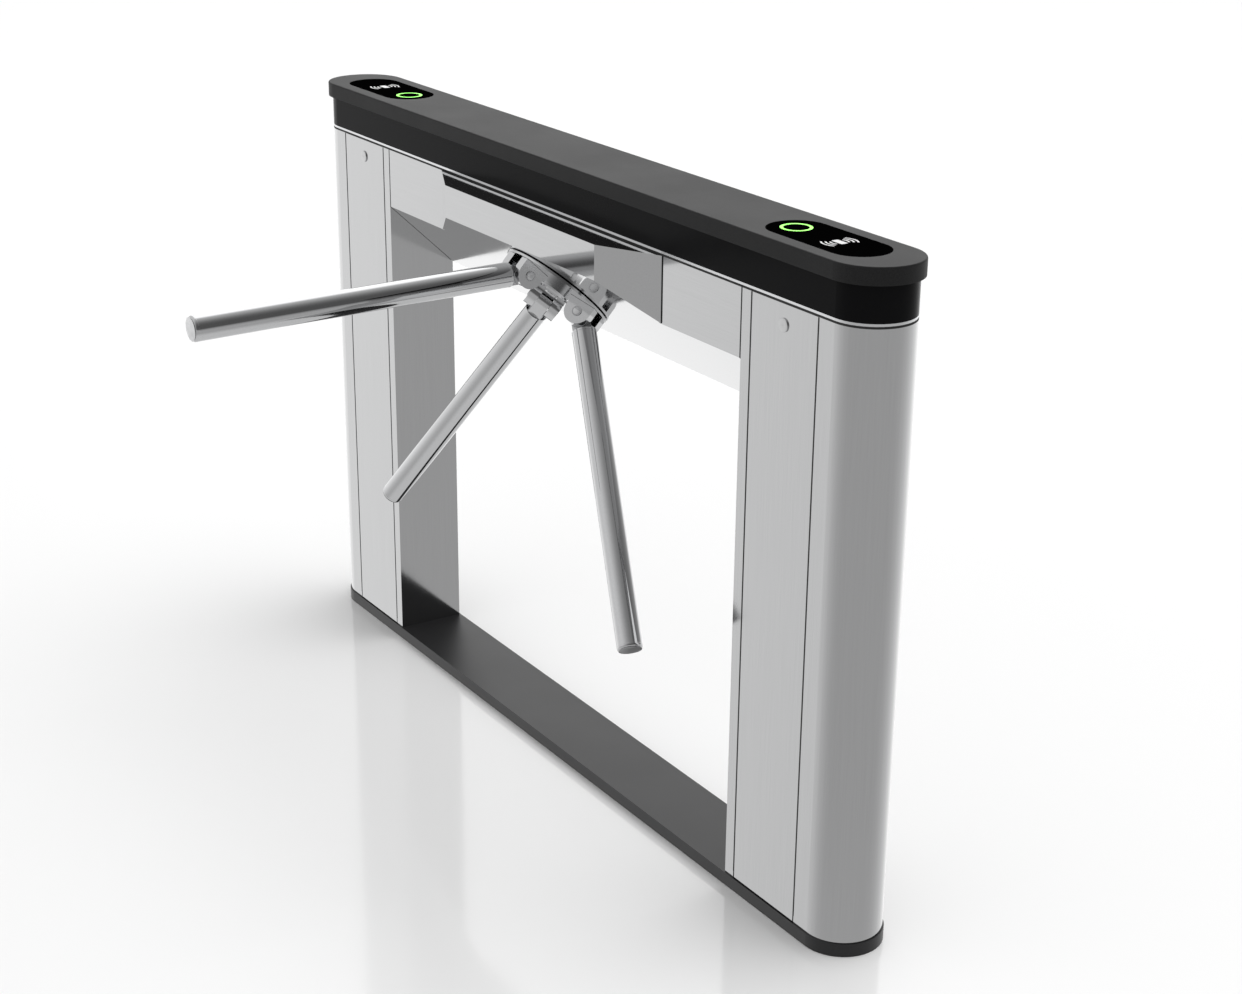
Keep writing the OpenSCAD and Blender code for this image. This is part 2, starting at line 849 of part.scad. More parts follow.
module damper_gear() {
    color("goldenrod") deep(gear_d0, gear_d0 + gear_w) difference() {
        gear_outline(gear_teeth, 0);
        circle(d = shaft_d + 2 * run_fit);
    }
}

module damper_pinion() {
    color("goldenrod") {
        deep(gear_d0, gear_d0 + gear_w)
            translate([pinion_x, 0]) gear_outline(pinion_teeth, 180 + 180 / pinion_teeth);
        deep(gear_d0 - housing_l / 2, gear_d0)
            translate([pinion_x, 0]) circle(d = pinion_shaft_d);
    }
}

module damper() {
    ear_l = damper_d + 4 * screw_d;
    color("#303030") difference() {
        union() {
            deep(chassis_d1, housing_d1 - bracket_t) translate([pinion_x, 0]) circle(d = damper_d);
            deep(chassis_d1, chassis_d1 + bracket_t)
                translate([pinion_x, 0]) square([damper_d, ear_l], center = true);
        }
        deep(gear_d0 - housing_l / 2 - fit, housing_d1)
            translate([pinion_x, 0]) circle(d = pinion_shaft_d + 2 * run_fit);
    }
}

// Lock wheel and the two solenoid bolts that drop into its notches
notch_share = 0.28;
bolt_rest_gap = 1;
bolt_deep = wheel_d0 + wheel_w / 2;
nose_w = 3;
nose_l = 2.5 * nose_w;
solenoid_l = 44;
solenoid_w = 30;
solenoid_h = 26;
solenoid_x = pinion_x + gear_module * pinion_teeth / 2 + 2 * screw_d / 2;
shelf_d1 = bolt_deep - solenoid_h / 2;

module lock_wheel() {
    r = wheel_d / 2;
    half_a = notch_share * 360 / notch_count;
    color("slategray") deep(wheel_d0, wheel_d0 + wheel_w) difference() {
        circle(r = r);
        circle(d = shaft_d + 2 * run_fit);
        for (i = [0:notch_count - 1])
            rotate(i * 360 / notch_count)
                polygon([
                    (r - notch_depth) * [cos(half_a), -sin(half_a)],
                    (r + over) * [cos(half_a), -sin(half_a)],
                    (r + over) * [cos(half_a), sin(half_a)],
                    (r - notch_depth) * [cos(half_a), sin(half_a)]
                ]);
    }
}

module lock_brackets() {
    x1 = solenoid_x + solenoid_l + bracket_t;
    color("gainsboro")
        for (side = [-1, 1]) at_end(side) {
            deep(shelf_d1 - bracket_t, shelf_d1)
                translate([solenoid_x, -solenoid_w / 2]) square([x1 - solenoid_x, solenoid_w]);
            deep(chassis_d1, shelf_d1)
                translate([x1 - bracket_t, -solenoid_w / 2]) square([bracket_t, solenoid_w]);
        }
}

module solenoid() {
    color("#404040") difference() {
        deep(shelf_d1, shelf_d1 + solenoid_h)
            translate([solenoid_x, -solenoid_w / 2]) square([solenoid_l, solenoid_w]);
        hub_frame() translate([solenoid_x - over, 0, -bolt_deep])
            rotate([0, 90, 0]) cylinder(d = bolt_d + 2 * run_fit, h = solenoid_l - bracket_t + over);
    }
}

module bolt() {
    x0 = wheel_d / 2 + bolt_rest_gap;
    x1 = solenoid_x + 0.6 * solenoid_l;
    color("silver") hub_frame() translate([0, 0, -bolt_deep]) {
        translate([x0 + nose_l, 0, 0]) rotate([0, 90, 0]) cylinder(d = bolt_d, h = x1 - x0 - nose_l);
        translate([x0, -nose_w / 2, -wheel_w / 2]) cube([nose_l, nose_w, wheel_w]);
    }
}

// Electronics on the back walls of the columns
psu_l = 60;
psu_w = 36;
psu_h = 150;
psu_z_share = 0.3;
psu_slots = 9;

module power_supply() {
    pitch = psu_h / (psu_slots + 2);
    translate([lock_x - psu_l / 2, inner_y - fit - psu_w, psu_z_share * total_h]) {
        color("silver") difference() {
            cube([psu_l, psu_w, psu_h]);
            for (i = [1:psu_slots])
                translate([psu_l / 6, -over, i * pitch])
                    cube([2 * psu_l / 3, over + skin_t, pitch / 2]);
        }
        color("darkgreen") translate([psu_l / 6, 0, -pitch]) cube([2 * psu_l / 3, psu_w / 2, pitch]);
    }
}

module control_board() {
    w = 90;
    h = 180;
    standoff = 8;
    block = w / 6;
    z = psu_z_share * total_h;
    back = inner_y - fit;
    mirror([1, 0, 0]) translate([lock_x - w / 2, back, z]) {
        color("silver") translate([0, -skin_t, 0]) cube([w, skin_t, h]);
        color("silver")
            for (x = [block / 2, w - block / 2], y = [block / 2, h - block / 2])
                translate([x, -skin_t, y]) rotate([90, 0, 0]) cylinder(d = spacer_d, h = standoff);
        translate([0, -skin_t - standoff - board_t, 0]) {
            color("darkgreen") cube([w, board_t, h]);
            color("black")
                for (i = [0:3]) translate([block / 2 + i * 1.4 * block, -block, block])
                    cube([block, block, 1.2 * block]);
            color("gray")
                for (i = [0:6]) translate([block + i * block / 2, -1.2 * block, h / 2])
                    cube([block / 6, 1.2 * block, h / 4]);
            color("seagreen")
                translate([block / 2, -block / 1.5, h - block]) cube([w - block, block / 1.5, block / 1.5]);
        }
    }
}

base_plate();
plinth();
at_end(-1) column_channel();  // left_column_channel
at_end(1) column_channel();  // right_column_channel
at_end(-1) column_wrap();  // left_column_wrap
at_end(1) column_wrap();  // right_column_wrap
at_end(-1) post();  // left_post
at_end(1) post();  // right_post
at_end(-1) door();  // left_door
at_end(1) door();  // right_door
door_rods();
at_end(-1) door_lock();  // left_lock
at_end(1) door_lock();  // right_lock
lock_keepers();
beam_skin();
bonnet();
bonnet_seals();
beam_rails();
deck();
body_joint();
trim_strip();
light_band();
lid();
at_end(-1) window();  // left_window
at_end(1) window();  // right_window
at_end(-1) light_ring();  // left_light_ring
at_end(1) light_ring();  // right_light_ring
at_end(-1) reader();  // left_reader
at_end(1) reader();  // right_reader
chassis_plate();
chassis_brackets();
bearing_housing();
main_bearings();
housing_screws();
main_shaft();
hub_disc();
hub_head();
hub_cap();
arm_pins();
arm_root(1);  // arm_1_root
arm_root(2);  // arm_2_root
arm_root(3);  // arm_3_root
arm_tube(1);  // arm_1_tube
arm_tube(2);  // arm_2_tube
arm_tube(3);  // arm_3_tube
arm_cap(1);  // arm_1_cap
arm_cap(2);  // arm_2_cap
arm_cap(3);  // arm_3_cap
damper_gear();
lock_wheel();
damper();
damper_pinion();
lock_brackets();
at_end(-1) solenoid();  // left_solenoid
at_end(1) solenoid();  // right_solenoid
at_end(-1) bolt();  // left_bolt
at_end(1) bolt();  // right_bolt
power_supply();
control_board();
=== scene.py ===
"""Looks of the bridge-type tripod turnstile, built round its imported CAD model.

Metres, +X along the cabinet, -Y to the side with the arms, +Z up, origin on the floor.
The object's sizes and points are written in millimetres, and scaled where a mesh or a matrix is
made. The floor and the camera are in metres.
"""
import json
import math

import bmesh
import bpy
from mathutils import Matrix, Vector


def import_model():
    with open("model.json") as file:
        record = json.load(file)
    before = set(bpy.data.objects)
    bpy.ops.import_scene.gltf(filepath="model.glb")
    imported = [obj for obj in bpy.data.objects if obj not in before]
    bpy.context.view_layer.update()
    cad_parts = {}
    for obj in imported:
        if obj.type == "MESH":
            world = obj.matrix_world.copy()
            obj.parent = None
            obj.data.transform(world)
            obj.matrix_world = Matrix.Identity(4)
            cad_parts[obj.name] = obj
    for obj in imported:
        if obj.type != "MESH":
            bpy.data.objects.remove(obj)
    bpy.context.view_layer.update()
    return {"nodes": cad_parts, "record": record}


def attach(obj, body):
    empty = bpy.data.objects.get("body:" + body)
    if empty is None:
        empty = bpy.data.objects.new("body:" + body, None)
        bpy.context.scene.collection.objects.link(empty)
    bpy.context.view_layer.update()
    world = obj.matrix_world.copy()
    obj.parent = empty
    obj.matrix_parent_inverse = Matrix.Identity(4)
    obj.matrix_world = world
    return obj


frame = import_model()
NODES = frame["nodes"]
MM = 0.001
SAME = Matrix.Identity(4)
ENDS = (("left", -1), ("right", 1))
ARMS = (1, 2, 3)

# Cabinet
TOTAL_H = 980.0
CABINET_L = 1536.0
CABINET_W = 118.0
HALF_W = CABINET_W / 2
PASSAGE_L = 1024.0
PLINTH_H = 20.0
BODY_TOP = 900.0
BEAM_FRONT_H = 98.0
BEAM_SEAM = 2.8
JOINT_H = 2.0
SKIN_T = 2.0
CABLE_Z = 847.5

# Doors and their locks
DOOR_X0 = 533.0
DOOR_X1 = 677.0
SEAM_W = 1.8
ROD_Z = 27.0
LOCK_X = 605.0
LOCK_Z = 871.0
LOCK_D = 19.0
LOCK_PROUD = 1.0

# Reader windows
WINDOW_X = 613.5
WINDOW_L = 213.0
WINDOW_W = 86.0
WINDOW_T = 3.0
WINDOW_FIT = 0.3

# Hub and arms
SLOPE = math.radians(43.2)
HUB_Y = -35.0
HUB_TURN = 1.0
DRUM_TOP = 15.0
HUB_CAP_T = 2.5
APEX_IN = 42.5
ARM_ANGLE = math.radians(45.5)
ARM_D = 38.0
ARM_REACH = 620.0
ARM_CAP_H = 6.0
PIN_REACH = 92.0
PIN_OFF_AXIS = PIN_REACH * math.sin(ARM_ANGLE)
PIN_ALONG_AXIS = PIN_REACH * math.cos(ARM_ANGLE) - APEX_IN
PIN_HALF = 28.0
TONGUE_W = 22.0
TONGUE_L = 30.0
COLLAR_START = PIN_REACH + 24.2
COLLAR_T = 3.0

# Drive behind the slope, as depths from the hub's plane and distances from its axis
SHAFT_D = 25.0
GEAR_END = 77.3
WHEEL_START = 85.3
WHEEL_END = 91.3
CHASSIS_DEPTH = 8.3
BRACKET_T = 4.0
DAMPER_X = 48.15
DAMPER_D = 38.0
SOLENOID_X = 68.15
SOLENOID_L = 44.0
SOLENOID_DEPTH = 101.3

# Fronts and heights of the power supply, the control board and its terminal strip
SUPPLY_FRONT = 20.7
SUPPLY_Z = 294.0
BOARD_FRONT = 45.1
BOARD_Z = 294.0
STRIP_FRONT = 35.1
STRIP_Z = 464.0


def slope_z(y):
    """Height of the sloping underside's outer face at a place across the cabinet."""
    return BODY_TOP - BEAM_FRONT_H - (y + HALF_W) * math.tan(SLOPE)


def move(x, y, z):
    """A move in millimetres."""
    return Matrix.Translation(Vector((x, y, z)) * MM)


def turn(degrees, axis):
    """A turn about an axis through the origin."""
    return Matrix.Rotation(math.radians(degrees), 4, axis)


def front_of(x, y, z):
    """On a face that looks to the front: the piece's own Z points out of it."""
    return move(x, y, z) @ turn(90, "X")


# Origin where the hub's axis meets the slope, Z out along the axis
HUB = move(0, HUB_Y, slope_z(HUB_Y)) @ turn(180 - math.degrees(SLOPE), "X")


def behind_hub(x, y, depth):
    """On a face behind the slope: the piece's own Z points on into the cabinet."""
    return HUB @ move(x, y, -depth) @ turn(180, "X")


def arm_turn(k):
    """The hub's frame, turned so that Y points to an arm's pin."""
    return HUB @ turn(HUB_TURN + (k - 1) * 120, "Z")


def along_arm(k):
    """Origin where the axes of the hub and the arms meet, Z along an arm."""
    return arm_turn(k) @ move(0, 0, -APEX_IN) @ turn(-math.degrees(ARM_ANGLE), "X")


# Materials

STEEL = (0.55, 0.552, 0.556)
MATS = {}

# Most values of a noise lie between these two
NOISE_LOW = 0.35
NOISE_HIGH = 0.65


class Tree:
    """The node tree of a material or a world, with a short call for each step."""

    def __init__(self, owner, empty=False):
        owner.use_nodes = True
        self.tree = owner.node_tree
        if empty:
            self.tree.nodes.clear()

    def link(self, source, socket):
        self.tree.links.new(source, socket)

    def add(self, kind, *links, **values):
        """A new node. Each value sets the node's property or else its input of that name."""
        node = self.tree.nodes.new("ShaderNode" + kind)
        for key, value in values.items():
            if hasattr(node, key):
                setattr(node, key, value)
            else:
                node.inputs[key.replace("_", " ")].default_value = value
        for socket, source in links:
            self.link(source, node.inputs[socket])
        return node

    def math(self, operation, first, second):
        """Arithmetic on two sockets or numbers."""
        node = self.add("Math", operation=operation)
        for i, value in enumerate((first, second)):
            if isinstance(value, (int, float)):
                node.inputs[i].default_value = value
            else:
                self.link(value, node.inputs[i])
        return node.outputs[0]

    def ramp(self, value, start, end, low, high, kind="LINEAR"):
        """A number that goes from low to high as value goes from start to end."""
        node = self.add("MapRange", ("Value", value), interpolation_type=kind,
                        From_Min=start, From_Max=end, To_Min=low, To_Max=high)
        return node.outputs["Result"]

    def step(self, value, start, end, low=0.0, high=1.0):
        """A ramp with soft ends."""
        return self.ramp(value, start, end, low, high, "SMOOTHSTEP")


class Shade(Tree):
    """One procedural material on a Principled shader."""

    def __init__(self, name, color, rough, metal=0.0):
        mat = bpy.data.materials.new(name)
        super().__init__(mat)
        self.bsdf = self.tree.nodes["Principled BSDF"]
        self.color = color
        self.set("Base Color", (*color, 1.0))
        self.set("Roughness", rough)
        self.set("Metallic", metal)
        mat.diffuse_color = (*color, 1.0)
        MATS[name] = mat

    def set(self, socket, value):
        self.bsdf.inputs[socket].default_value = value

    def place(self, scale):
        """Object coordinates, scaled by one number or by one for each axis."""
        each = scale if isinstance(scale, tuple) else (scale, scale, scale)
        coord = self.add("TexCoord")
        mapping = self.add("Mapping", ("Vector", coord.outputs["Object"]), Scale=each)
        return mapping.outputs["Vector"]

    def noise(self, scale, detail=3.0, rough=0.6):
        """A noise with scale lumps to the metre, as one number or as one for each axis."""
        node = self.add("TexNoise", ("Vector", self.place(scale)),
                        Scale=1.0, Detail=detail, Roughness=rough)
        return node.outputs["Fac"]

    def vary_rough(self, value, low, high):
        """Roughness that follows a noise."""
        spread = self.ramp(value, NOISE_LOW, NOISE_HIGH, low, high)
        self.link(spread, self.bsdf.inputs["Roughness"])

    def vary_color(self, value, darkest, start=NOISE_LOW, end=NOISE_HIGH):
        """Goes from the base colour times darkest to the base colour."""
        mix = self.add("Mix", data_type="RGBA")
        mix.inputs["A"].default_value = (*[part * darkest for part in self.color], 1.0)
        mix.inputs["B"].default_value = (*self.color, 1.0)
        self.link(self.ramp(value, start, end, 0.0, 1.0), mix.inputs["Factor"])
        self.link(mix.outputs["Result"], self.bsdf.inputs["Base Color"])

    def bump(self, *layers):
        """Adds bumps, each given as its height value, its strength and its depth."""
        last = None
        for value, strength, depth in layers:
            node = self.add("Bump", ("Height", value), Strength=strength, Distance=depth * MM)
            if last:
                self.link(last, node.inputs["Normal"])
            last = node.outputs["Normal"]
        self.link(last, self.bsdf.inputs["Normal"])


def brushed(name, color, rough, grain, fine=0.06, wave=0.15):
    """Sheet metal with a fine grain, smudges and the slight waves of a large thin panel."""
    shade = Shade(name, color, rough, metal=1.0)
    lines = shade.noise(grain, detail=4.0)
    cloud = shade.noise((3.0, 3.0, 2.2), detail=2.0, rough=0.55)
    smudge = shade.noise((26.0, 26.0, 17.0), detail=4.0, rough=0.65)
    shade.vary_rough(smudge, rough * 0.93, rough * 1.1)
    shade.vary_color(lines, darkest=0.965)
    shade.bump((lines, fine, 0.06), (cloud, wave, 1.2))


def polished(name, color, rough, grain=300.0, fine=0.04):
    """Bright metal with fine polishing marks."""
    shade = Shade(name, color, rough, metal=1.0)
    marks = shade.noise(grain, detail=4.0, rough=0.7)
    smudge = shade.noise(60.0, detail=4.0)
    shade.vary_rough(smudge, rough * 0.8, rough * 1.3)
    shade.vary_color(marks, darkest=0.96)
    shade.bump((marks, fine, 0.04))


def powder(name, color, rough, grain=900.0, strength=0.35, depth=0.12, specular=0.35):
    """Powder coat: a fine orange-peel bump, and a speckle of the same grain."""
    shade = Shade(name, color, rough)
    shade.set("Specular IOR Level", specular)
    peel = shade.noise(grain)
    patch = shade.noise(9.0)
    shade.vary_rough(patch, rough * 0.98, rough * 1.03)
    shade.vary_color(peel, darkest=0.6)
    shade.bump((peel, strength, depth))


def plastic(name, color, rough, grain=500.0, strength=0.08, coat=0.0, specular=0.5):
    """Moulded or lacquered plastic: a very fine texture, slightly uneven in its gloss."""
    shade = Shade(name, color, rough)
    shade.set("Specular IOR Level", specular)
    shade.set("Coat Weight", coat)
    shade.set("Coat Roughness", 0.03)
    fine = shade.noise(grain)
    patch = shade.noise(18.0)
    shade.vary_rough(patch, rough * 0.9, rough * 1.15)
    shade.vary_color(fine, darkest=0.93)
    shade.bump((fine, strength, 0.05))


def zinc(name, color, rough):
    """Zinc-plated sheet with its crystal pattern."""
    shade = Shade(name, color, rough, metal=1.0)
    cells = shade.add("TexVoronoi", ("Vector", shade.place(90.0)), Scale=1.0)
    fine = shade.noise(400.0, rough=0.55)
    shade.vary_rough(fine, 0.36, 0.48)
    shade.vary_color(cells.outputs["Distance"], darkest=0.86, start=0.1, end=0.7)
    shade.bump((fine, 0.08, 0.05))


def glow(name, color, rough, power):
    """A lit light guide with a fine frosting."""
    shade = Shade(name, color, rough)
    frost = shade.noise(1500.0, detail=2.0, rough=0.55)
    shade.vary_color(frost, darkest=0.85)
    shade.bump((frost, 0.1, 0.03))
    shade.set("Emission Color", (*color, 1.0))
    shade.set("Emission Strength", power)


# The brushed grain runs up the columns, along the beam and along the trim
brushed("panel_steel", STEEL, 0.11, grain=(700.0, 700.0, 9.0))
brushed("beam_steel", STEEL, 0.07, grain=(9.0, 700.0, 700.0), fine=0.03, wave=0.06)
brushed("trim_alu", (0.72, 0.725, 0.735), 0.2, grain=(12.0, 12.0, 900.0), fine=0.05, wave=0.0)
polished("hub_metal", (0.62, 0.623, 0.63), 0.08, grain=260.0)
polished("arm_metal", (0.59, 0.593, 0.6), 0.06, fine=0.03)
polished("cap_metal", (0.6, 0.603, 0.61), 0.34, fine=0.03)
polished("lock_metal", (0.56, 0.562, 0.566), 0.2)
polished("plain_steel", (0.5, 0.5, 0.51), 0.28, grain=500.0)
polished("bearing_steel", (0.62, 0.62, 0.63), 0.15, grain=400.0)
polished("gear_brass", (0.62, 0.44, 0.16), 0.25, grain=500.0)
powder("plinth_paint", (0.018, 0.018, 0.019), 0.42)
powder("lid_paint", (0.018, 0.018, 0.0185), 0.5, grain=800.0, strength=0.4, depth=0.15, specular=0.13)
powder("black_steel", (0.02, 0.02, 0.022), 0.4, grain=700.0, strength=0.2, depth=0.06, specular=0.5)
powder("cast_alu", (0.5, 0.5, 0.51), 0.4, grain=500.0, strength=0.3, depth=0.1, specular=0.6)
plastic("band_gloss", (0.005, 0.005, 0.0054), 0.2, grain=200.0, strength=0.01, specular=0.035)
plastic("window_glass", (0.001, 0.001, 0.001), 0.1, grain=100.0, strength=0.0, specular=0.0)
# Black foam of the gaskets and grommets, also the painted shade in the seams and over the joint
plastic("joint_foam", (0.01, 0.01, 0.01), 0.7)
plastic("sign_white", (0.78, 0.78, 0.78), 0.45, grain=300.0, strength=0.03)
plastic("circuit_board", (0.02, 0.16, 0.06), 0.35, grain=300.0, strength=0.1, coat=0.3)
plastic("gear_plastic", (0.7, 0.69, 0.64), 0.5)
plastic("lead_sleeve", (0.018, 0.018, 0.02), 0.5, grain=900.0, strength=0.2)
glow("ring_light", (0.22, 0.9, 0.06), 0.35, power=1.2)
zinc("zinc_plate", (0.58, 0.6, 0.62), 0.42)
MATS["floor_steel"] = MATS["zinc_plate"]


# CAD nodes

BEAM_SHEETS = ("beam_skin", "bonnet")
FLAT_ANGLE = math.radians(0.6)
NODE_EDGE_ANGLE = math.radians(28)
PIECE_EDGE_ANGLE = math.radians(35)

# Width of a rounded edge, in general and for the nodes with another one
EDGE_W = 0.3
EDGES = {
    "base_plate": 0.5, "plinth": 0.8, "left_column_channel": 0.5, "right_column_channel": 0.5,
    "left_column_wrap": 0.4, "right_column_wrap": 0.4, "left_door": 0.45, "right_door": 0.45,
    "beam_skin": 0.5, "bonnet": 0.5, "hub_head": 0.7, "hub_disc": 0.8, "hub_cap": 0.4,
    "lid": 0.5, "light_band": 0.4,
}


def round_edges(obj, width, angle):
    """Small rounded edges where faces meet at more than an angle."""
    edge = obj.modifiers.new("edge", "BEVEL")
    edge.width = width * MM
    edge.segments = 2
    edge.limit_method = "ANGLE"
    edge.angle_limit = angle
    edge.harden_normals = True


def shade_smooth(mesh):
    """Even shading across the facets of round faces."""
    for face in mesh.polygons:
        face.use_smooth = True


def dress_nodes():
    """Gives each CAD node its material, flat faces in one piece and rounded edges."""
    slots = {row["node"]: row["material_slot"] for row in frame["record"]["subparts"]}
    for name, obj in NODES.items():
        mat = "beam_steel" if name in BEAM_SHEETS else slots[name]
        obj.data.materials.clear()
        obj.data.materials.append(MATS[mat])
        flat = obj.modifiers.new("flat", "DECIMATE")
        flat.decimate_type = "DISSOLVE"
        flat.angle_limit = FLAT_ANGLE
        round_edges(obj, EDGES.get(name, EDGE_W), NODE_EDGE_ANGLE)
        shade_smooth(obj.data)


# Outlines


def polygon_reach(sides, half_width):
    """Distance from the middle of a regular polygon to its edge, at an angle."""
    step = 2 * math.pi / sides
    return lambda angle: half_width / math.cos((angle % step) - step / 2)


def box_reach(length, width):
    """Distance from the middle of a rectangle to its edge, at an angle."""

    def reach(angle):
        across = abs(math.cos(angle))
        upward = abs(math.sin(angle))
        return min(length / 2 / max(across, 1e-6), width / 2 / max(upward, 1e-6))

    return reach


def dome(radius, height, edge, steps=5):
    """Profile of a low button with a rounded edge."""
    profile = [(radius, 0.0), (radius, height - edge)]
    for i in range(1, steps + 1):
        angle = math.pi / 2 * i / steps
        profile.append((radius - edge + edge * math.cos(angle), height - edge + edge * math.sin(angle)))
    return profile


def rounded(x0, y0, x1, y1, radius, steps=5):
    """Outline of a rectangle with rounded corners."""
    corners = ((x1 - radius, y1 - radius, 0), (x0 + radius, y1 - radius, 90),
               (x0 + radius, y0 + radius, 180), (x1 - radius, y0 + radius, 270))
    outline = []
    for x, y, start in corners:
        for i in range(steps + 1):
            angle = math.radians(start + 90 * i / steps)
            outline.append((x + radius * math.cos(angle), y + radius * math.sin(angle)))
    return outline


def arc_band(radius, width, start, end, steps=16):
    """Outline of a band along an arc about the origin, its angles in degrees."""
    angles = [math.radians(start + (end - start) * i / steps) for i in range(steps + 1)]
    inner = radius - width / 2
    outer = radius + width / 2
    outline = [(inner * math.cos(angle), inner * math.sin(angle)) for angle in angles]
    outline += [(outer * math.cos(angle), outer * math.sin(angle)) for angle in reversed(angles)]
    return outline


def stadium_line(length, width, z, steps=24):
    """Points round a stadium, level at a height."""
    radius = width / 2
    run = (length - width) / 2
    line = []
    for side in (1, -1):
        for i in range(steps + 1):
            angle = math.pi * i / steps - math.pi / 2
            line.append((side * (run + radius * math.cos(angle)), side * radius * math.sin(angle), z))
    return line


def curve(points, steps=8):
    """A smooth line through points (Catmull-Rom)."""
    line = [Vector(point) for point in points]
    line = [2 * line[0] - line[1]] + line + [2 * line[-1] - line[-2]]
    smooth = []
    for a, b, c, d in zip(line, line[1:], line[2:], line[3:]):
        for k in range(steps):
            t = k / steps
            square = (2 * a - 5 * b + 4 * c - d) * t * t
            cube = (3 * b - a - 3 * c + d) * t ** 3
            smooth.append(0.5 * (2 * b + (c - a) * t + square + cube))
    smooth.append(line[-2])
    return smooth


# Meshes


def grid(rings, loop=False):
    """A mesh through rings of points, capped at its two ends or closed in a loop."""
    mesh = bmesh.new()
    rows = [[mesh.verts.new(Vector(point) * MM) for point in ring] for ring in rings]
    pairs = list(zip(rows, rows[1:]))
    if loop:
        pairs.append((rows[-1], rows[0]))
    count = len(rows[0])
    for low, high in pairs:
        for i in range(count):
            after = (i + 1) % count
            mesh.faces.new((low[i], low[after], high[after], high[i]))
    if not loop:
        mesh.faces.new(list(reversed(rows[0])))
        mesh.faces.new(rows[-1])
    return mesh


def lathe(profile, sides=48, loop=False):
    """Turns a profile of (radius, height) about Z. A radius may be a function of the angle."""
    rings = []
    for radius, height in profile:
        ring = []
        for i in range(sides):
            angle = 2 * math.pi * i / sides
            reach = radius(angle) if callable(radius) else radius
            ring.append((reach * math.cos(angle), reach * math.sin(angle), height))
        rings.append(ring)
    return grid(rings, loop)


def sweep(line, radius, sides):
    """A round wire along a line."""
    rings = []
    side = None
    for i, point in enumerate(line):
        ahead = line[min(i + 1, len(line) - 1)]
        behind = line[max(i - 1, 0)]
        along = (ahead - behind).normalized()
        if side is None:
            side = along.orthogonal().normalized()
        side = (side - along * side.dot(along)).normalized()
        other = along.cross(side)
        angles = [2 * math.pi * k / sides for k in range(sides)]
        rings.append([point + radius * (math.cos(a) * side + math.sin(a) * other) for a in angles])
    return grid(rings)


def upright(outline, low, high):
    """A flat outline of (x, y) carried up from one height to another."""
    return grid([[(x, y, z) for x, y in outline] for z in (low, high)])


def along_x(outline, start, end):
    """A flat outline of (y, z) carried along X."""
    return grid([[(x, y, z) for y, z in outline] for x in (start, end)])


def stadium_ring(length, width, gap, rim, low, high):
    """A ring round a stadium, from gap wider than it to rim wider than it."""
    outer = [stadium_line(length + rim, width + rim, z) for z in (low, high)]
    inner = [stadium_line(length + gap, width + gap, z) for z in (high, low)]
    return grid(outer + inner, loop=True)


def socket_screw(head_d, head_h, key):
    """Cylinder head with a hexagon socket, standing on Z = 0."""
    rim = head_h * 0.14
    depth = head_h * 0.6
    lead_in = 0.15
    flare = 1.08
    socket = polygon_reach(6, key / 2)
    profile = dome(head_d / 2, head_h, rim, steps=3)
    profile.append((lambda angle: socket(angle) * flare, head_h))
    profile += [(socket, head_h - lead_in), (socket, head_h - depth)]
    return lathe(profile)


def pan_screw(head_d, head_h):
    """Low round head with a cross recess, standing on Z = 0."""
    radius = head_d / 2
    slot_l = radius * 1.1
    slot_w = radius * 0.26
    slot_floor = head_h * 0.45
    slots = (box_reach(slot_l, slot_w), box_reach(slot_w, slot_l))
    crown_shares = ((1.0, 0.0), (1.0, 0.35), (0.86, 0.75), (0.62, 1.0))

    def cross(angle):
        return max(slot(angle) for slot in slots)

    profile = [(radius * out, head_h * up) for out, up in crown_shares]
    profile += [(cross, head_h), (cross, slot_floor)]
    return lathe(profile)


def piece(name, parts, mat, body, edge=0.0, angle=30.0):
    """One object from (mesh, matrix) parts, riding on a body."""
    whole = bmesh.new()
    for bm, place in parts:
        bm.transform(place)
        part = bpy.data.meshes.new("part")
        bm.to_mesh(part)
        bm.free()
        whole.from_mesh(part)
        bpy.data.meshes.remove(part)
    bmesh.ops.recalc_face_normals(whole, faces=whole.faces)
    mesh = bpy.data.meshes.new(name)
    whole.to_mesh(mesh)
    whole.free()
    mesh.materials.append(MATS[mat])
    shade_smooth(mesh)
    mesh.set_sharp_from_angle(angle=math.radians(angle))
    obj = bpy.data.objects.new(name, mesh)
    bpy.context.scene.collection.objects.link(obj)
    if edge:
        round_edges(obj, edge, PIECE_EDGE_ANGLE)
    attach(obj, body)


# Hub and arms


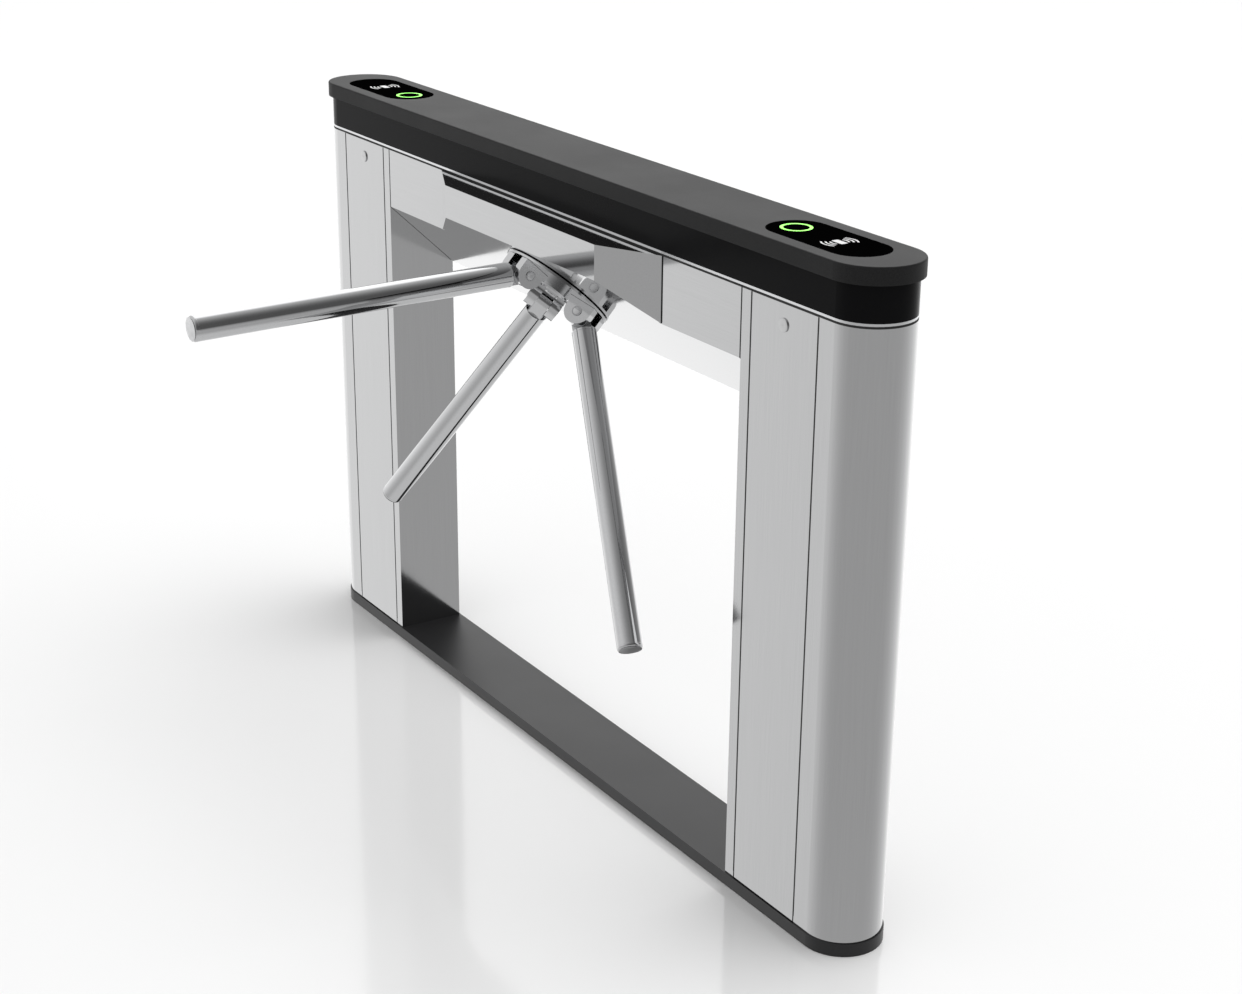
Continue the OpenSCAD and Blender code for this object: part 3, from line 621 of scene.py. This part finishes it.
def hub_pieces():
    """Ends of the arm pins, the plug in the hub's cap, and the shaft's collars and circlip."""
    pin_end = dome(radius=5.8, height=0.3, edge=0.25)
    ends = []
    for k in ARMS:
        for side in (-1, 1):
            end = move(side * PIN_HALF, PIN_OFF_AXIS, PIN_ALONG_AXIS) @ turn(90 * side, "Y")
            ends.append((lathe(pin_end), arm_turn(k) @ end))
    piece("arm_pin_ends", ends, "hub_metal", "hub")

    plug = dome(radius=11.0, height=1.0, edge=0.8) + [(3.0, 1.3)]
    place = HUB @ move(0, 0, DRUM_TOP + HUB_CAP_T)
    piece("hub_cap_plug", [(lathe(plug), place)], "hub_metal", "hub")

    bore = SHAFT_D / 2 + 0.05
    tall = 3.6
    chamfer = 0.6
    collars = []
    for depth, radius in ((GEAR_END, 19.0), (WHEEL_START - tall, 18.0)):
        ring = [(bore, 0.0), (radius - chamfer, 0.0), (radius, chamfer)]
        ring += [(radius, tall - chamfer), (radius - chamfer, tall), (bore, tall)]
        collars.append((lathe(ring, 64, loop=True), behind_hub(0, 0, depth)))
    piece("shaft_collars", collars, "plain_steel", "hub")

    clip_w = 2.6
    clip_t = 1.2
    ring = [(bore, 0.0), (bore + clip_w, 0.0), (bore + clip_w, clip_t), (bore, clip_t)]
    clip = (lathe(ring, 64, loop=True), behind_hub(0, 0, WHEEL_END + 0.3))
    piece("shaft_circlip", [clip], "black_steel", "hub")


def weld_seam(z):
    """A fine bead of an oval section round an arm's tube."""
    half_w = 0.62
    half_h = 0.45
    radius = ARM_D / 2 - 0.5
    angles = [2 * math.pi * i / 10 for i in range(10)]
    section = [(radius + half_w * math.cos(a), z + half_h * math.sin(a)) for a in angles]
    return lathe(section, 72, loop=True)


def root_fillet():
    """The hollow round by which an arm's flat tongue widens into its collar."""
    height = 2.0
    spread = 2.2
    steps = 6
    tongue = box_reach(TONGUE_W, TONGUE_L)
    limit = ARM_D / 2 - 0.4

    def widened(more):
        return lambda angle: min(tongue(angle) + more, limit)

    profile = []
    for i in range(steps + 1):
        share = i / steps
        more = spread * (1 - math.sqrt(1 - share * share))
        profile.append((widened(more), COLLAR_START - height + height * share))
    return lathe(profile)


def arm_pieces():
    """Weld seams, the fillet at the foot and the satin end face of each arm."""
    face = dome(ARM_D / 2 - 1.6, height=0.25, edge=0.2) + [(6.0, 0.32)]
    for k in ARMS:
        name = "arm_%d" % k
        axis = along_arm(k)
        seams = [(weld_seam(z), axis) for z in (COLLAR_START + COLLAR_T, ARM_REACH - ARM_CAP_H)]
        piece(name + "_seams", seams, "arm_metal", name)
        piece(name + "_fillet", [(root_fillet(), axis)], "hub_metal", name, angle=50)
        end = (lathe(face, 72), axis @ move(0, 0, ARM_REACH))
        piece(name + "_end_face", [end], "cap_metal", name)


# Locks and windows


def lock_pieces():
    """The crowned face of each quarter-turn lock, with its key slot."""
    radius = LOCK_D / 2
    slot = box_reach(length=4.6, width=0.8)
    face = dome(radius, height=0.9, edge=0.7, steps=6)
    face += [(radius - 2.6, 0.97), (3.4, 1.0), (slot, 1.0), (slot, 0.75)]
    for side, sign in ENDS:
        place = front_of(sign * LOCK_X, -HALF_W - LOCK_PROUD, LOCK_Z)
        lock = (lathe(face, 96), place)
        piece(side + "_lock_face", [lock], "lock_metal", side + "_door_lock")


def sign_marks():
    """A card held between two sets of waves, as flat outlines."""
    card_half_l = 11.0
    card_half_w = 5.5
    wave_w = 2.6
    wave_half_angle = 36
    marks = [rounded(-card_half_w, -card_half_l, card_half_w, card_half_l, 2.0)]
    for facing in (0, 180):
        for radius in (12, 18, 24):
            marks.append(arc_band(radius, wave_w, facing - wave_half_angle, facing + wave_half_angle))
    return marks


def window_pieces():
    """A thin gasket round each window, and a plain printed sign on it for holding a card there."""
    clear = 0.04
    rim = 2 * WINDOW_FIT - clear
    foot = TOTAL_H - WINDOW_T
    sign_x = WINDOW_X + 24
    for side, sign in ENDS:
        gasket = stadium_ring(WINDOW_L, WINDOW_W, clear, rim, foot, TOTAL_H - 0.15)
        parts = [(gasket, move(sign * WINDOW_X, 0, 0))]
        piece(side + "_window_gasket", parts, "joint_foam", "housing", angle=40)
        place = move(sign * sign_x, 0, 0) @ turn(90 * sign, "Z")
        parts = [(upright(mark, TOTAL_H - 0.2, TOTAL_H + 0.04), place) for mark in sign_marks()]
        piece(side + "_window_sign", parts, "sign_white", "housing", angle=40)


# Seams

# Width of the dark lips that carry a seam's painted shade over the sheets beside it
SHADE_LIP_W = 0.45


def seam_shade_outline(seam_x, sign, face, low_lip, high_lip):
    """A dark seal as painted shade in a seam of the front (face -1) or the back (1), with lips over the
    sheets beside it that widen it.
    """
    over = 0.03
    lip_t = 0.14
    deep = 7.0
    half = SEAM_W / 2 - 0.1
    low = -SEAM_W / 2 - SHADE_LIP_W if low_lip else -half
    high = SEAM_W / 2 + SHADE_LIP_W if high_lip else half
    line = [(low, -over), (low, -over - lip_t), (high, -over - lip_t), (high, -over)]
    line += [(half, -over), (half, deep), (-half, deep), (-half, -over)]
    clean = [point for i, point in enumerate(line) if point != line[i - 1]]
    return [(sign * (seam_x + along), face * (HALF_W - inward)) for along, inward in clean]


def door_seam_shades(side, sign):
    """Dark seals as painted shade in the two seams of a door and in the column's seam at the back."""
    low = ROD_Z + 4.0
    high = BODY_TOP - 1.5
    near = seam_shade_outline(DOOR_X0, sign, -1, low_lip=True, high_lip=False)
    far = seam_shade_outline(DOOR_X1, sign, -1, low_lip=False, high_lip=True)
    back = seam_shade_outline(DOOR_X0, sign, 1, low_lip=True, high_lip=True)
    parts = [(upright(near, low, high), SAME), (upright(far, low, high), SAME)]
    parts.append((upright(back, PLINTH_H + 1.5, BODY_TOP - 3.5), SAME))
    piece(side + "_door_seam_shades", parts, "joint_foam", "housing", angle=40)


def door_edge_shades(side, sign):
    """Dark beads along the two long edges of a door, painted shade that widens its seams, which move
    with it.
    """
    back = -HALF_W - 0.03
    shoulder = -HALF_W - 0.13
    crest = -HALF_W - 0.17
    beads = []
    for seam_x, inward in ((DOOR_X0, 1), (DOOR_X1, -1)):
        start = seam_x + inward * (SEAM_W / 2 + 0.06)
        end = start + inward * SHADE_LIP_W
        top = start + inward * 0.08
        line = [(start, back), (end, back), (end, shoulder), (top, crest), (start, shoulder)]
        outline = [(sign * x, y) for x, y in line]
        beads.append((upright(outline, PLINTH_H + 2.5, BODY_TOP - 1.5), SAME))
    piece(side + "_door_edge_shades", beads, "joint_foam", side + "_service_door", angle=40)


def beam_seam_shade(side, sign):
    """A dark seal between the beam and a column, painted shade for that seam, open at the top."""
    inset = 0.4
    clear = 0.15
    over_slope = 1.0
    under_inside = 3.0
    outer = HALF_W - inset
    inner = HALF_W - SKIN_T - 0.1
    top = BODY_TOP - inset
    band = [(-outer, top), (-outer, slope_z(-outer) + over_slope)]
    band += [(outer, slope_z(outer) + over_slope), (outer, top)]
    band += [(inner, top), (inner, slope_z(inner) + under_inside)]
    band += [(-inner, slope_z(-inner) + under_inside), (-inner, top)]
    start = PASSAGE_L / 2 - BEAM_SEAM + clear
    end = PASSAGE_L / 2 - clear
    seal = (along_x(band, sign * start, sign * end), SAME)
    piece(side + "_beam_seam_shade", [seal], "joint_foam", "housing")


def seam_pieces():
    """Dark seals as painted shade in the seams of the doors and the beam, and a dark lip over the joint
    under the trim that paints its shadow gap wider.
    """
    for side, sign in ENDS:
        door_seam_shades(side, sign)
        door_edge_shades(side, sign)
        beam_seam_shade(side, sign)
    # A dark lip that makes the joint's line thicker: a painted shadow gap
    low = BODY_TOP - 0.6
    high = BODY_TOP + JOINT_H + 0.5
    lip = stadium_ring(CABINET_L, CABINET_W, gap=0.04, rim=0.36, low=low, high=high)
    piece("joint_shade_lip", [(lip, SAME)], "joint_foam", "housing")


# Inside the cabinet


def door_pieces():
    """Two folded stiffeners inside each service door."""
    low = 60.0
    high = 835.0
    off_lock = 32
    back = -HALF_W + SKIN_T + 0.05
    hat = [(-10, 0), (-10, 0.8), (-5.5, 0.8), (-4.5, 4.6), (4.5, 4.6), (5.5, 0.8), (10, 0.8), (10, 0)]
    outline = [(along, back + inward) for along, inward in hat]
    for side, sign in ENDS:
        ribs = []
        for x in (LOCK_X - off_lock, LOCK_X + off_lock):
            ribs.append((upright(outline, low, high), move(sign * x, 0, 0)))
        piece(side + "_door_ribs", ribs, "zinc_plate", side + "_service_door", edge=0.3)


def drive_pieces():
    """Screws of the damper and the solenoids."""
    ear = DAMPER_D / 2 + 8
    inset = 8
    screws = []
    for side in (-1, 1):
        place = behind_hub(DAMPER_X, side * ear, CHASSIS_DEPTH + BRACKET_T)
        screws.append((socket_screw(head_d=8.0, head_h=5.0, key=4.0), place))
        for along in (inset, SOLENOID_L - inset):
            place = behind_hub(side * (SOLENOID_X + along), 0, SOLENOID_DEPTH)
            screws.append((pan_screw(head_d=7.0, head_h=2.2), place))
    piece("drive_screws", screws, "black_steel", "housing")


def on_supply(x, z):
    """On the front of the power supply, which stands in the right column."""
    return front_of(LOCK_X + x, SUPPLY_FRONT, SUPPLY_Z + z)


def supply_pieces():
    """Terminal screws, barriers, case screws and the lamp of the power supply."""
    terminals = 5
    pitch = 8
    row_z = -6.8
    screws = []
    for i in range(terminals):
        x = pitch * (i - (terminals - 1) / 2)
        screws.append((pan_screw(head_d=5.4, head_h=1.8), on_supply(x, row_z)))
    for x in (-26, 26):
        for z in (7, 143):
            screws.append((pan_screw(head_d=6.0, head_h=2.0), on_supply(x, z)))
    piece("supply_screws", screws, "plain_steel", "housing")

    barrier = rounded(-0.6, -6.4, 0.6, 6.4, 0.5, steps=3)
    walls = []
    for i in range(terminals + 1):
        x = pitch * (i - terminals / 2)
        walls.append((upright(barrier, 0.0, 2.6), on_supply(x, row_z)))
    piece("supply_barriers", walls, "black_steel", "housing")

    lamp = dome(radius=1.6, height=1.6, edge=1.2)
    piece("supply_lamp", [(lathe(lamp), on_supply(26, 18))], "ring_light", "housing")


def on_board(x, z):
    """On the front of the control board, which stands in the left column."""
    return front_of(-LOCK_X + x, BOARD_FRONT, BOARD_Z + z)


def chip_pins(half, place):
    """The legs on the four sides of a square chip, two millimetres apart."""
    pitch = 2.0
    leg_half = 0.3
    pins = []
    for i in range(int(half)):
        mid = -half + pitch / 2 + pitch * i
        leg = rounded(half - 0.4, mid - leg_half, half + 1.3, mid + leg_half, 0.2, steps=2)
        for side in range(4):
            pins.append((upright(leg, 0.02, 0.5), place @ turn(90 * side, "Z")))
    return pins


def board_pieces():
    """Capacitors, chips, lamps and terminal screws of the control board."""
    can = [(6.0, 0.0), (6.0, 1.6), (5.5, 2.2), (6.0, 2.8), (6.0, 15.2), (5.3, 16.0), (4.8, 15.7)]
    cans = [(lathe(can), on_board(24 - 15 * i, 52)) for i in range(3)]
    piece("board_capacitors", cans, "plain_steel", "housing")

    chips = []
    pins = []
    for x, z, half in ((-24, 62, 8.0), (14, 148, 5.0), (30, 148, 5.0)):
        outline = rounded(-half, -half, half, half, 0.6, steps=3)
        chips.append((upright(outline, 0.4, 2.2), on_board(x, z)))
        pins += chip_pins(half, on_board(x, z))
    piece("board_chips", chips, "black_steel", "housing")
    piece("board_pins", pins, "plain_steel", "housing")

    lamp = dome(radius=1.2, height=1.4, edge=0.9)
    lamps = [(lathe(lamp, 24), on_board(-10 - 6 * i, 148)) for i in range(4)]
    piece("board_lamps", lamps, "ring_light", "housing")

    screws = []
    for i in range(9):
        place = front_of(-LOCK_X - 32 + 8 * i, STRIP_FRONT, STRIP_Z)
        screws.append((pan_screw(head_d=4.4, head_h=1.2), place))
    piece("board_screws", screws, "plain_steel", "housing")


# Routes of the leads: from each column's box, on through the beam, and down from the reader
LOOM_D = 6.0
LOOM_STARTS = {
    "left": [(-605, 39, 470), (-605, 32, 520), (-602, 24, 700), (-582, 8, 812)],
    "right": [(617, 18, 288), (628, 8, 292), (642, 14, 330), (645, 22, 420),
              (640, 22, 600), (622, 18, 740), (584, 7, 814)],
}
LOOM_IN_BEAM = [(548, 0, 845), (512, 0, CABLE_Z), (470, 0, 845), (380, 3, 836), (250, 2, 822),
                (160, 0, 816.5), (125, 0, 816.5), (119.5, 9, 827), (119.5, 20, 838), (113, 25.4, 844)]
LEAD_D = 3.6
READER_LEAD = [(590, 20, 964), (588, 18, 940), (586, 12, 900), (578, 7, 862), (556, 5, 850),
               (520, 6, 849), (470, 6, 847)]


def wiring_pieces():
    """Grommets in the cable holes, and the leads clipped between the columns and the mechanism."""
    bore, neck, bead, flange = 16.5, 20.8, 23.0, 24.0
    grommet = [(bore, -2.2), (flange, -2.2), (flange, -0.2), (neck, -0.2)]
    grommet += [(neck, 2.2), (bead, 2.2), (bead, 3.6), (bore, 3.6)]
    for side, sign in ENDS:
        place = move(sign * PASSAGE_L / 2, 0, CABLE_Z) @ turn(90 * sign, "Y")
        parts = [(lathe(grommet, 64, loop=True), place)]
        piece(side + "_grommet", parts, "joint_foam", "housing")
        route = LOOM_STARTS[side] + [(sign * x, y, z) for x, y, z in LOOM_IN_BEAM]
        loom = sweep(curve(route), LOOM_D / 2, 16)
        route = [(sign * x, y, z) for x, y, z in READER_LEAD]
        lead = sweep(curve(route), LEAD_D / 2, 12)
        parts = [(loom, SAME), (lead, SAME)]
        piece(side + "_leads", parts, "lead_sleeve", "housing", angle=60)


# Floor, light and camera

FLOOR_HALF = 60.0
FLOOR_DROP = 0.0005
FLOOR_PALE = (0.88, 0.88, 0.88, 1)
FLOOR_GLOSS = 0.08
MATT_LIGHT = 0.65
LOW_DIM = 0.53
LOW_BRIGHT = 1.2
LOW_STRAIGHT_DOWN = 0.78
HIGH_DIM = 0.12
HIGH_BRIGHT = 0.87
LAMP = 0.9
BOUNCE = 0.25


def floor():
    """A pale floor with a soft shadow and a faint reflection; the metal mirrors the studio instead."""
    mesh = bpy.data.meshes.new("floor")
    corners = [(x * FLOOR_HALF, y * FLOOR_HALF, 0) for x, y in ((-1, -1), (1, -1), (1, 1), (-1, 1))]
    mesh.from_pydata(corners, [], [(0, 1, 2, 3)])
    obj = bpy.data.objects.new("floor", mesh)
    obj.location.z = -FLOOR_DROP
    obj.visible_glossy = False
    bpy.context.scene.collection.objects.link(obj)
    mat = bpy.data.materials.new("floor")
    tree = Tree(mat, empty=True)
    matt = tree.add("BsdfDiffuse", Color=FLOOR_PALE)
    shine = tree.add("BsdfPrincipled", Base_Color=(1, 1, 1, 1), Metallic=1.0, Roughness=0.1)
    mix = tree.add("MixShader", (1, matt.outputs[0]), (2, shine.outputs[0]))
    mix.inputs[0].default_value = FLOOR_GLOSS
    tree.add("OutputMaterial", ("Surface", mix.outputs[0]))
    mesh.materials.append(mat)


def world():
    """The studio that the metal mirrors: a lamp at the back left, and dim on the near right."""
    studio = bpy.data.worlds.new("studio")
    bpy.context.scene.world = studio
    tree = Tree(studio, empty=True)
    path = tree.add("LightPath")
    coord = tree.add("TexCoord")
    xyz = tree.add("SeparateXYZ", (0, coord.outputs["Generated"]))
    x, y, z = xyz.outputs[0], xyz.outputs[1], xyz.outputs[2]

    # Below the horizon it is brighter to the left, and the same all round straight down
    left = tree.math("SUBTRACT", tree.math("MULTIPLY", y, 0.5), x)
    rise = tree.math("POWER", tree.ramp(left, -0.6, 0.8, 0.0, 1.0), 1.8)
    low = tree.ramp(rise, 0.0, 1.0, LOW_DIM, LOW_BRIGHT)
    steep = tree.step(z, -0.45, -0.85)
    change = tree.math("SUBTRACT", LOW_STRAIGHT_DOWN, low)
    low = tree.math("ADD", low, tree.math("MULTIPLY", steep, change))

    # Above it is dim on the near right, and the lamp is at the back left
    right = tree.math("ADD", x, tree.math("MULTIPLY", tree.math("MAXIMUM", y, 0.0), 0.3))
    high = tree.step(right, 0.95, -0.5, HIGH_DIM, HIGH_BRIGHT)
    lamp = tree.math("MULTIPLY", tree.step(x, -0.1, -0.45, 0.0, LAMP), tree.step(y, 0.05, 0.35))
    lamp = tree.math("MULTIPLY", lamp, tree.step(z, 0.0, 0.2))
    high = tree.math("ADD", high, lamp)

    up = tree.step(z, -0.12, 0.1)
    down = tree.math("SUBTRACT", 1.0, up)
    mirrored = tree.math("ADD", tree.math("MULTIPLY", down, low), tree.math("MULTIPLY", up, high))

    # Mirrored in metal it is the studio, on matt surfaces an even light, and behind the part white
    glossy = path.outputs["Is Glossy Ray"]
    matt = tree.ramp(glossy, 0.0, 1.0, MATT_LIGHT, 0.0)
    bounce = tree.ramp(path.outputs["Diffuse Depth"], 0.0, 1.0, 1.0, BOUNCE)
    mirrored = tree.math("MULTIPLY", mirrored, bounce)
    shown = tree.math("ADD", matt, tree.math("MULTIPLY", mirrored, glossy))
    shown = tree.math("MAXIMUM", shown, path.outputs["Is Camera Ray"])
    back = tree.add("Background", ("Color", shown))
    tree.add("OutputWorld", ("Surface", back.outputs[0]))


def sun(name, toward, power, spread):
    """A wide soft light from one direction, seen only in the shading of matt surfaces."""
    data = bpy.data.lights.new(name, "SUN")
    data.energy = power
    data.angle = math.radians(spread)
    obj = bpy.data.objects.new(name, data)
    obj.rotation_euler = Vector(toward).to_track_quat("Z", "Y").to_euler()
    obj.visible_glossy = False
    bpy.context.scene.collection.objects.link(obj)


# The photograph's camera, as solved from its straight edges
CAMERA_PLACE = (2.7863, -1.7096, 1.6588)
CAMERA_YAW = math.radians(57.39)
CAMERA_PITCH = math.radians(21.22)
CAMERA_ROLL = math.radians(0.51)
CAMERA_SHIFT = (0.0045, 0.0183)
FOCAL_PX = 2195.4
PHOTO_W_PX = 1242.0
SENSOR_W = 36.0


def camera():
    """Looks down by the pitch, turned by the yaw from +Y to -X, and rolled about the view."""
    level = Vector((math.cos(CAMERA_YAW), math.sin(CAMERA_YAW), 0.0))
    ahead = Vector((-math.sin(CAMERA_YAW), math.cos(CAMERA_YAW), 0.0))
    forward = math.cos(CAMERA_PITCH) * ahead - math.sin(CAMERA_PITCH) * Vector((0.0, 0.0, 1.0))
    above = level.cross(forward)
    right = math.cos(CAMERA_ROLL) * level + math.sin(CAMERA_ROLL) * above
    up = -math.sin(CAMERA_ROLL) * level + math.cos(CAMERA_ROLL) * above
    data = bpy.data.cameras.new("camera")
    data.sensor_width = SENSOR_W
    data.lens = FOCAL_PX / PHOTO_W_PX * SENSOR_W
    data.shift_x, data.shift_y = CAMERA_SHIFT
    data.clip_end = 200.0
    obj = bpy.data.objects.new("camera", data)
    facing = Matrix((right, up, -forward)).transposed().to_4x4()
    obj.matrix_world = Matrix.Translation(CAMERA_PLACE) @ facing
    bpy.context.scene.collection.objects.link(obj)
    bpy.context.scene.camera = obj


dress_nodes()
hub_pieces()
arm_pieces()
lock_pieces()
window_pieces()
seam_pieces()
door_pieces()
drive_pieces()
supply_pieces()
board_pieces()
wiring_pieces()
floor()
world()
sun("key", toward=(0.12, 0.3, 1.0), power=1.45, spread=55)
camera()
bpy.context.scene.view_settings.view_transform = "Standard"

bpy.context.view_layer.update()
